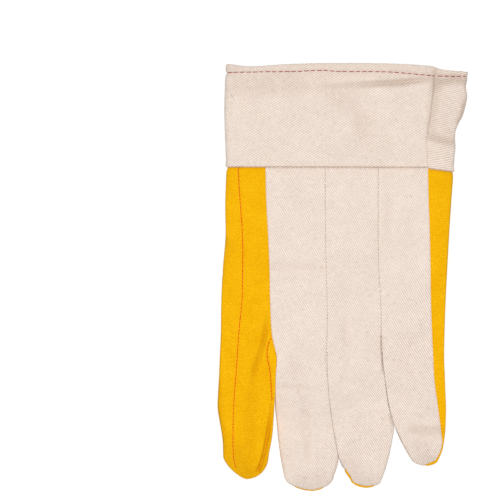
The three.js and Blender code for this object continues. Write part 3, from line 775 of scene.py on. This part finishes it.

# Creases and soft folds of the upper side: height, half width, strength of the painted shade
# that stands for the shadow in the fold, and the (x, y) points of its path
CREASE_TAPER = 0.3
CREASES = [
    (-1.3, 1.5, 0.4, (-45.5, -18), (-48.5, -39), (-53.8, -56), (-56.5, -70)),
    (1, 3.2, 0, (-52, -18), (-56, -41), (-60, -60), (-61, -80)),
    (-1.3, 3.4, 0.15, (-53, -60), (-57, -88), (-56, -114)),
    (-0.6, 7, 0.22, (-66, -98), (-62, -116), (-54, -130)),
    (-0.6, 2.4, 0.3, (-77, -50), (-76, -85), (-73, -104), (-68, -122)),
    (-1.2, 5.5, 0.22, (-80, 116), (-40, 117), (-6, 117)),
    (-1, 2, 0.3, (-20, 116), (11, 118), (36, 119.5), (60, 123)),
    (-1, 1.7, 0.3, (4, 118), (17, 118.7), (36, 119.7), (50, 121.3), (66, 123)),
    (1, 3.5, 0, (20, 112), (38, 113.5), (54, 114)),
    (-1.2, 5.5, 0.12, (-20, 122), (2, 109), (9, 100), (13.7, 88), (17, 70)),
    (0.6, 6, 0, (34, 113), (36, 78)),
    (-1.2, 2.6, 0.45, (54, 112), (61, 120), (69, 122), (86, 120)),
    (1.6, 3.4, 0, (60, 98), (65, 109), (74, 116)),
    (-1.2, 2.6, 0.32, (58, 136), (57.2, 112), (55.5, 100), (52, 80)),
    (-1.6, 1.9, 0.5, (50, 88), (58, 85.6), (66, 84), (74, 83.5)),
    (1.4, 3, 0, (54, 91), (64, 91), (73, 96)),
    (-0.6, 2.2, 0.6, (76.5, 114), (74.5, 102), (70, 88)),
    (-0.9, 3, 0.1, (-75, 24), (-66, 15)),
    (-0.7, 2.5, 0.06, (28.6, 62), (28.8, 15)),
    (-0.7, 2.6, 0.1, (-66, 7), (-36, 7.7), (-6, 7)),
    (-1, 3.4, 0.08, (-30, -36), (-28, -75)),
    (-0.6, 2, 0.08, (-44, -67), (-16, -69.5)),
    (-0.8, 2.6, 0.12, (1.3, -20), (2.3, -48)),
    (-0.9, 5, 0.06, (36, -30), (41, -56)),
    (-0.9, 2.5, 0.3, (35, -93), (50, -94), (70, -94)),
    (-0.4, 1.1, 0.5, (28.4, -82), (29.9, -87), (31.8, -93)),
    (-0.5, 6, 0.16, (44, -98), (51, -108), (56, -118)),
    (-0.8, 2.4, 0.12, (-25, -66), (-22.5, -92), (-22, -120)),
    (-0.5, 6, 0.16, (-34, -124), (-19, -126), (-6, -122)),
    (-0.5, 4, 0.14, (-2, -104), (12, -128), (26, -122)),
]
for height, half_width, painted_darkness, *path in CREASES:
    distance, place = near_path(path, x, y)
    taper = smooth(place / CREASE_TAPER) * smooth((1 - place) / CREASE_TAPER)
    fold = above * taper * hill(distance, half_width)
    relief += height * fold
    crease_and_slope_shade += painted_darkness * fold
# Painted shade over the whole strip at the cuff's side, which slopes away from the light
crease_and_slope_shade += 0.06 * above * (point_owner == CUFF_PALM)
shade = clamp(shade + crease_and_slope_shade)
relief += (above + below) * (waves(24, 55) * 0.1 + waves(9, 11) * 0.05)

# Where two fingers touch, relief moves the cloth only up and down, so that no gap opens there
TOUCH_WIDTH = 0.3
TOUCH_REACH = 2
for boundary, (_, end) in TOUCHING.items():
    sides, _ = FINGERS[boundary]
    rows = stacked(sides["y"], sides["left"])[sides["y"] > end]
    across, reach = off_line(rows, above > 0)
    touch = np.maximum(touch, reach * hill(across, TOUCH_WIDTH))
    touch_run = np.maximum(touch_run, reach * hill(across, TOUCH_REACH))
directions = smoothed(base_normals, 10)
directions[:, :2] *= (1 - touch_run)[:, None]

# The cloth under a crotch comes close to the upper side, and keeps clear of it
AT_CROTCH_REACH = 9
AT_CROTCH_LOW = 4
to_crotches = [np.hypot(x - along(sides, "left", CROTCH_Y), y - CROTCH_Y) for sides, _ in FINGERS[1:]]
at_crotches = (np.min(to_crotches, axis=0) < AT_CROTCH_REACH) & (z > AT_CROTCH_LOW)
relief = np.where(at_crotches & (base_normals[:, 2] < 0), 0, relief)

# The cuff's seam lies lower on the strip at the side
STRIP_X = 52
STRIP_STEP = 0.7
STRIP_SLANT = 2
STRIP_WIDTH = 16
STRIP_LOWERED = 14
surface = base_points + directions * relief[:, None]
step = STRIP_STEP * smooth((x - STRIP_X) / 1.5) * smooth(z / 3)
fall = STRIP_SLANT * clamp((x - STRIP_X) / STRIP_WIDTH)
surface[:, 1] -= (step + fall) * hill(y - CUFF_SEAM_Y, STRIP_LOWERED)
surface[:, 2] = np.maximum(surface[:, 2], 0)
normals = vertex_normals(surface, triangles)

inward = smoothed(normals, 4)
TOUCH_LEVELLED = 1.6
CROTCH_LEVELLED = 0.6
CROTCH_RUN = 36
levelled = touch * mix(TOUCH_LEVELLED, CROTCH_LEVELLED, smooth((CROTCH_Y - y) / CROTCH_RUN))
shading_normals = unit(normals + stacked(0, 0, levelled))

# Threads: capsules laid on the surface along the sewn lines
RED_THREAD_WIDTH = 0.44
HEM_THREAD_WIDTH = 0.54
NATURAL_THREAD_WIDTH = 0.34
# Share of a stitch's length, share of its radius, and height over the cloth in radii
THREAD_RINGS = [
    (0, 0.3, -0.3), (0.08, 0.8, 0.2), (0.3, 1, 0.8), (0.7, 1, 0.8), (0.92, 0.8, 0.2), (1, 0.3, -0.3)
]
THREAD_SIDES = 6
PATH_STEP = 0.5

casters = [
    BVHTree.FromPolygons(surface.tolist(), triangles[owners == piece].tolist()) for piece in range(5)
]


def projected(piece, path, from_above):
    """The path, dropped on a piece from above or below, with the piece's normal at each point."""
    toward = Vector((0, 0, -1 if from_above else 1))
    found = []
    for px, py in path:
        place, normal, _, _ = casters[piece].ray_cast(Vector((px, py, -100 * toward.z)), toward)
        if place is not None:
            found.append((*place, *(normal if normal.z * toward.z < 0 else -normal)))
    return np.array(found)


# Near a crotch the inner face of the cloth stays this far below the upper side
UNDER_CROTCH_ROOM = 1


def upper_side(place):
    """Height of the upper side over a place."""
    start = Vector((*place[:2], 100))
    hits = [casters[piece].ray_cast(start, Vector((0, 0, -1)))[0] for piece in (BACK, PALM)]
    return max(hit.z for hit in hits if hit is not None)


def stitch(run, lengths, start, end, width, aside):
    """Points of one stitch between two lengths along a run, ring by ring."""
    ring_share, radius, height = np.array(THREAD_RINGS).T
    mid = stacked(*[np.interp(mix(start, end, ring_share), lengths, values) for values in run.T])
    centre, up = mid[:, :3], unit(mid[:, 3:])
    side = np.cross(unit(np.gradient(centre, axis=0)), up)
    centre = centre + up * (height * width / 2)[:, None] + side * (aside * (ring_share - 0.5))[:, None]
    turn = (np.arange(THREAD_SIDES) * 2 * math.pi / THREAD_SIDES)[:, None]
    round_ring = np.cos(turn) * side[:, None] + np.sin(turn) * up[:, None]
    points = centre[:, None] + round_ring * (radius * width / 2)[:, None, None]
    points[..., 2] = np.maximum(points[..., 2], 0)
    return points.reshape(-1, 3)


def stitch_faces():
    """Triangles of one stitch, closed at both ends."""
    last = (len(THREAD_RINGS) - 1) * THREAD_SIDES
    faces = []
    for a in range(0, last, THREAD_SIDES):
        for j in range(THREAD_SIDES):
            k = (j + 1) % THREAD_SIDES
            b = a + THREAD_SIDES
            faces += [[a + j, a + k, b + k], [a + j, b + k, b + j]]
    for j in range(1, THREAD_SIDES - 1):
        faces += [[0, j + 1, j], [last, last + j, last + j + 1]]
    return np.array(faces)


def sew(piece, path, from_above, pitch, length, width):
    """Adds the stitches along a path to those of a piece."""
    run = projected(piece, path, from_above)
    lengths = np.hstack([0, np.cumsum(np.linalg.norm(np.diff(run[:, :3], axis=0), axis=1))])
    for i in range(int(lengths[-1] / pitch + 0.7)):
        start = (i + 0.1 + 0.08 * random.rand()) * pitch
        end = min(start + length * (0.94 + 0.12 * random.rand()), lengths[-1] - 0.1)
        threads[piece].append(stitch(run, lengths, start, end, width, random.normal(0, 0.05)))


def lengthwise(rows):
    line = table("y x", rows)
    y_places = np.arange(line["y"].max(), line["y"].min(), -PATH_STEP)
    return stacked(along(line, "x", y_places), y_places)


threads = [[] for _ in PIECES]
for piece, lines, from_above, pitch, length, width in (
    (PALM, QUILTING[PALM], False, 2.5, 2.1, RED_THREAD_WIDTH),
    (THUMB_PIECE, QUILTING[THUMB_PIECE], False, 2.5, 2.1, RED_THREAD_WIDTH),
    (PALM, [INDEX_QUILTING, INDEX_SEAM[:6]], True, 2.3, 2.2, RED_THREAD_WIDTH),
    (BACK, [MIDDLE_RING, RING_LITTLE], True, LINE_PITCH, 1.35, NATURAL_THREAD_WIDTH),
):
    for rows in lines:
        sew(piece, lengthwise(rows), from_above, pitch, length, width)
for piece, from_above, start, end in (
    (CUFF_BACK, True, -71.3, 57.6), (CUFF_PALM, True, 57.7, 76.6), (CUFF_PALM, False, -71, 76)
):
    hem_x = np.arange(start, end, PATH_STEP)
    hem_path = stacked(hem_x, along(HEM_LINE, "y", hem_x, "x"))
    sew(piece, hem_path, from_above, HEM_PITCH, 3.4, HEM_THREAD_WIDTH)

# Materials
CANVAS = (0.835, 0.718, 0.633)
# Painted shade in the twill's grooves: darkest colours of the ribs' ramps, the last one deeper for the
# fingers at the lower right
BACK_RIB_SHADE = (0.69, 0.575, 0.49, 1)
CUFF_RIB_SHADE = (0.65, 0.535, 0.45, 1)
DEEP_RIB_SHADE = (0.625, 0.51, 0.43, 1)
# Direction and range in metres over which the deeper painted groove shade fades in
DEEP_SHADE_TOWARD = (1.6, -1, 0)
DEEP_SHADE_START = 0.06
DEEP_SHADE_END = 0.11
FLANNEL = (0.895, 0.462, 0.0015)
RED = (0.78, 0.04, 0.003)
CRIMSON = (0.39, 0.07, 0.075)
NATURAL = (0.55, 0.45, 0.36)
TWILL_PITCH = 1.25
PICK_PITCH = 0.62
CROSS_PITCH = 1.5
TWIST_PITCH = 0.0004
WAVE_UNIT = math.pi / 10


def grey(share):
    return (share, share, share, 1)


def tint(colour, share):
    return (*[channel * share for channel in colour], 1)


def set_inputs(tree, target, inputs):
    for name, value in inputs.items():
        if isinstance(value, bpy.types.NodeSocket):
            tree.links.new(value, target.inputs[name])
        else:
            target.inputs[name].default_value = value


def node(tree, kind, inputs, **settings):
    made = tree.nodes.new("ShaderNode" + kind)
    for name, value in settings.items():
        setattr(made, name, value)
    set_inputs(tree, made, inputs)
    return made


def noise(tree, place, scale, detail, roughness=0.5):
    inputs = {"Vector": place, "Scale": scale, "Detail": detail, "Roughness": roughness}
    return node(tree, "TexNoise", inputs).outputs["Fac"]


def wave(tree, place, pitch, distortion, detail, detail_scale=1, direction="Y"):
    inputs = {"Vector": place, "Scale": WAVE_UNIT / pitch, "Distortion": distortion, "Detail": detail}
    inputs["Detail Scale"] = detail_scale
    return node(tree, "TexWave", inputs, bands_direction=direction).outputs["Fac"]


def scaled_sum(tree, value, factor, added):
    return node(tree, "Math", {0: value, 1: factor, 2: added}, operation="MULTIPLY_ADD").outputs[0]


def ramp(tree, factor, stops):
    made = node(tree, "ValToRGB", {"Fac": factor})
    elements = made.color_ramp.elements
    while len(elements) < len(stops):
        elements.new(0.5)
    for element, stop in zip(elements, stops):
        element.position, element.color = stop
    return made.outputs["Color"]


def blended(tree, factor, one, other, kind):
    inputs = {"Factor": factor, "A": one, "B": other}
    return node(tree, "Mix", inputs, data_type="RGBA", blend_type=kind).outputs["Result"]


def tinted(tree, colour, factor, *stops):
    """The colour, multiplied by the colours of a ramp."""
    return blended(tree, 1, colour, ramp(tree, factor, stops), "MULTIPLY")


def start_material(name, roughness, sheen, sheen_tint):
    made = bpy.data.materials.new(name)
    made.use_nodes = True
    tree = made.node_tree
    set_inputs(tree, tree.nodes["Principled BSDF"], {
        "Roughness": roughness, "Specular IOR Level": 0.08, "Sheen Weight": sheen,
        "Sheen Roughness": 0.5, "Sheen Tint": sheen_tint,
    })
    return made, tree, node(tree, "TexCoord", {}).outputs["Object"]


def end_material(tree, colour, height, strength, distance):
    bump = node(tree, "Bump", {"Height": height, "Strength": strength, "Distance": distance})
    inputs = {"Base Color": colour, "Normal": bump.outputs["Normal"]}
    set_inputs(tree, tree.nodes["Principled BSDF"], inputs)


def with_painted_shade(tree, colour, darkest):
    """Painted shade: the cloth darkened toward the darkest colour where the per-point shade attribute is
    high, in seams, sewn lines, creases and over the hem band.
    """
    depth = node(tree, "Attribute", {}, attribute_name="painted_shade").outputs["Fac"]
    return tinted(tree, colour, depth, (0, grey(1)), (1, darkest))


def canvas_material(name, angle, rib_shade):
    """Natural cotton twill, whose rib normals point at an angle to the glove's width; its ribs carry
    painted shade in their grooves and painted light on their tops.
    """
    made, tree, place = start_material(name, 0.85, 0.08, (1, 0.95, 0.9, 1))
    cloth = node(tree, "UVMap", {}, uv_map="cloth").outputs["UV"]
    rotation = (0, 0, -math.radians(angle))
    turned = node(tree, "Mapping", {"Vector": cloth, "Rotation": rotation}).outputs["Vector"]
    ribs = wave(tree, turned, TWILL_PITCH, 1.1, 2, 0.8, "X")
    picks = wave(tree, turned, PICK_PITCH, 2, 1)
    mottle = noise(tree, place, 70, 4, 0.6)
    yarn = noise(tree, place, 900, 2)
    fleck = noise(tree, place, 420, 1)
    uneven = scaled_sum(tree, fleck, 0.5, -0.25)
    ribs = node(tree, "Math", {0: ribs, 1: uneven}, operation="ADD", use_clamp=True).outputs[0]
    # Painted shade in the rib grooves and painted light on the rib tops, stronger on the fingers at the
    # lower right
    plain = ramp(tree, ribs, [(0, rib_shade), (0.4, tint(CANVAS, 1)), (1, tint(CANVAS, 1.07))])
    deep_rib_shading = ramp(tree, ribs, [(0, DEEP_RIB_SHADE), (0.42, tint(CANVAS, 1)), (1, tint(CANVAS, 1.09))])
    toward = node(tree, "VectorMath", {0: place, 1: DEEP_SHADE_TOWARD}, operation="DOT_PRODUCT")
    run = {"Value": toward.outputs["Value"], "From Min": DEEP_SHADE_START, "From Max": DEEP_SHADE_END}
    opened = node(tree, "MapRange", run).outputs["Result"]
    colour = blended(tree, opened, plain, deep_rib_shading, "MIX")
    colour = tinted(tree, colour, mottle, (0.3, (0.955, 0.95, 0.945, 1)), (0.7, grey(1.02)))
    colour = tinted(tree, colour, yarn, (0.3, grey(0.94)), (0.7, grey(1.03)))
    colour = tinted(tree, colour, fleck, (0.24, (0.92, 0.9, 0.89, 1)), (0.29, grey(1)))
    # Painted shade in seams, lines and creases, down to this colour
    colour = with_painted_shade(tree, colour, (0.62, 0.55, 0.5, 1))
    weave = scaled_sum(tree, picks, 0.25, ribs)
    end_material(tree, colour, scaled_sum(tree, yarn, 0.6, weave), 0.55, 0.00012)
    return made


def flannel_material(name):
    """Golden napped cotton: mottled, with a fuzzy raised nap and a faint cross texture."""
    made, tree, place = start_material(name, 0.95, 0.1, (1, 0.6, 0.03, 1))
    cloth = node(tree, "UVMap", {}, uv_map="cloth").outputs["UV"]
    mottle = noise(tree, place, 95, 4, 0.6)
    nap = noise(tree, place, 1500, 3, 0.7)
    cross = wave(tree, cloth, CROSS_PITCH, 6, 2, 0.6)
    dark, light = (0.87, 0.435, 0.0008, 1), (0.915, 0.487, 0.003, 1)
    colour = ramp(tree, mottle, [(0.3, dark), (0.5, (*FLANNEL, 1)), (0.7, light)])
    colour = tinted(tree, colour, nap, (0.38, (0.9, 0.82, 0.6, 1)), (0.62, (1.06, 1.12, 1.4, 1)))
    colour = tinted(tree, colour, cross, (0, (0.975, 0.95, 1, 1)), (1, (1.01, 1.02, 1, 1)))
    # Painted shade in seams, lines and creases, down to this colour
    colour = with_painted_shade(tree, colour, (0.62, 0.47, 0.4, 1))
    end_material(tree, colour, scaled_sum(tree, cross, 0.12, nap), 0.6, 0.0003)
    return made


def thread_material(name, colour):
    made, tree, place = start_material(name, 0.6, 0.1, grey(1))
    twist = wave(tree, place, TWIST_PITCH, 2, 1, direction="DIAGONAL")
    shades = ramp(tree, twist, [(0, tint(colour, 0.75)), (1, tint(colour, 1.15))])
    end_material(tree, shades, twist, 0.5, 0.00005)
    return made


def added(name, data):
    made = bpy.data.objects.new(name, data)
    bpy.context.scene.collection.objects.link(made)
    return made


def mesh_piece(name, points, faces, material):
    mesh = bpy.data.meshes.new(name)
    mesh.from_pydata((points * MM).tolist(), [], faces.tolist())
    mesh.shade_smooth()
    mesh.materials.append(material)
    return added(name, mesh)


def rim_faces(a, b, inner_a, inner_b):
    return np.vstack([stacked(b, a, inner_a), stacked(b, inner_a, inner_b)])


def cloth_piece(piece, kind, material):
    """A piece of cloth: the outer surface, an inner one at its thickness, and the cut edges."""
    own = owners == piece
    used, local = np.unique(triangles[own], return_inverse=True)
    local, cloth = local.reshape(-1, 3), corners[own]
    thick = CANVAS_THICKNESS if piece == BACK else FLANNEL_THICKNESS
    if piece in (CUFF_BACK, CUFF_PALM):
        thick = (cuff_thickness - 2 * edge_turn * EDGE_CLOSED)[used, None]
    inner = surface[used] - inward[used] * thick
    for i in np.flatnonzero(at_crotches[used] & (inward[used, 2] < 0)):
        inner[i, 2] = min(inner[i, 2], upper_side(inner[i]) - UNDER_CROTCH_ROOM)
    inner_normals = vertex_normals(inner, local[:, ::-1])
    count = len(used)
    keys = np.sort(half_edges(local), axis=1) @ (count, 1)
    _, where, times = np.unique(keys, return_index=True, return_counts=True)
    a, b = half_edges(local)[where[times == 1]].T
    rim = rim_faces(a, b, a + count, b + count)
    faces = np.vstack([local, local[:, ::-1] + count, rim])
    a, b = half_edges(cloth)[where[times == 1]].T
    uvs = raw_cloth[np.vstack([cloth, cloth[:, ::-1], rim_faces(a, b, a, b)])]
    made = mesh_piece(PIECES[piece] + kind, np.vstack([surface[used], inner]), faces, material)
    mesh = made.data
    mesh.uv_layers.new(name="cloth").data.foreach_set("uv", uvs.reshape(-1))
    # Per-point painted shade, which the cloth materials turn into darker colour
    shades = mesh.attributes.new("painted_shade", "FLOAT", "POINT")
    shades.data.foreach_set("value", np.hstack([shade[used], np.zeros(count)]))
    shading = np.vstack([shading_normals[used], inner_normals])[faces]
    shading[-len(rim):] = 0
    mesh.normals_split_custom_set(shading.reshape(-1, 3).tolist())
    return made


def thread_piece(name, piece, material):
    first = np.arange(len(threads[piece])) * THREAD_SIDES * len(THREAD_RINGS)
    faces = (first[:, None, None] + stitch_faces()).reshape(-1, 3)
    made = mesh_piece(name, np.vstack(threads[piece]), faces, material)
    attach(made, "root")
    return made


CLOTH_PIECES = [
    cloth_piece(BACK, "_canvas", canvas_material("back_twill", 30, BACK_RIB_SHADE)),
    cloth_piece(PALM, "_flannel", flannel_material("palm_flannel")),
    cloth_piece(THUMB_PIECE, "_flannel", flannel_material("thumb_flannel")),
    cloth_piece(CUFF_BACK, "_canvas", canvas_material("cuff_back_twill", -58, CUFF_RIB_SHADE)),
    cloth_piece(CUFF_PALM, "_canvas", canvas_material("cuff_palm_twill", -76, CUFF_RIB_SHADE)),
]
red, crimson = thread_material("red_thread", RED), thread_material("crimson_thread", CRIMSON)
natural = thread_material("natural_thread", NATURAL)
for piece, name, material, slot in (
    (PALM, "palm_quilting_stitches", red, "red_thread"),
    (THUMB_PIECE, "thumb_quilting_stitches", red, "red_thread"),
    (BACK, "back_line_stitches", natural, "natural_thread"),
    (CUFF_BACK, "cuff_back_hem_stitches", crimson, "red_thread"),
    (CUFF_PALM, "cuff_palm_hem_stitches", crimson, "red_thread"),
):
    thread_piece(name, piece, material)

# Each piece's slot, flat size and area in metres, and what it rests on
SHEETS = [
    (BACK, "natural_canvas", (0.135, 0.215), 0.025, ["palm_panel_flannel"]),
    (PALM, "golden_flannel", (0.22, 0.215), 0.034, ["thumb_flannel"]),
    (THUMB_PIECE, "golden_flannel", (0.12, 0.14), 0.011, []),
    (CUFF_BACK, "natural_canvas", (0.14, 0.08), 0.0089, ["cuff_palm_canvas"]),
    (CUFF_PALM, "natural_canvas", (0.185, 0.08), 0.0117, []),
]
for piece, slot, flat, area, rests_on in SHEETS:
    cloth = CLOTH_PIECES[piece]
    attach(cloth, "root")
    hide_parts(PIECES[piece])

# Camera, straight above
scene = bpy.context.scene
camera_data = bpy.data.cameras.new("camera")
camera_data.lens = LENS
camera_data.sensor_width = SENSOR
camera_data.clip_end = 100
camera = added("camera", camera_data)
camera.location = (VIEW_X * MM, VIEW_Y * MM, (FRAMED_HEIGHT + PICTURE_SIDE * LENS / SENSOR) * MM)
scene.camera = camera

# A bright white sweep and soft light from straight above
key_data = bpy.data.lights.new("key", "AREA")
key_data.size = 2
key_data.energy = 89
key = added("key", key_data)
key.location = (-0.08, 0.1, 2.9)
key.rotation_euler = (-key.location).to_track_quat("-Z", "Y").to_euler()
scene.world = bpy.data.worlds.new("studio")
scene.world.use_nodes = True
sky = scene.world.node_tree
set_inputs(sky, sky.nodes["Background"], {"Color": grey(1), "Strength": 0.15})
scene.view_settings.view_transform = "Standard"

SWEEP_REACH = 4
SWEEP_SIDES = 48
SWEEP_HEIGHT = 0.5
FLOOR_DROP = 0.00005
sides = np.arange(SWEEP_SIDES)
turn = sides * 2 * math.pi / SWEEP_SIDES
ring = stacked(np.cos(turn) * SWEEP_REACH, np.sin(turn) * SWEEP_REACH, -FLOOR_DROP)
after = (sides + 1) % SWEEP_SIDES
wall = stacked(sides, after, SWEEP_SIDES + after, SWEEP_SIDES + sides)
sweep = np.vstack([ring, ring + (0, 0, SWEEP_HEIGHT)])
floor_mesh = bpy.data.meshes.new("floor")
floor_mesh.from_pydata(sweep.tolist(), [], [sides.tolist(), *wall.tolist()])
floor_material = bpy.data.materials.new("white_sweep")
floor_material.use_nodes = True
floor_tree = floor_material.node_tree
set_inputs(floor_tree, floor_tree.nodes["Principled BSDF"], {
    "Base Color": grey(0.2), "Roughness": 1, "Specular IOR Level": 0,
    "Emission Color": grey(1), "Emission Strength": 0.84,
})
floor_mesh.materials.append(floor_material)
floor = added("floor", floor_mesh)
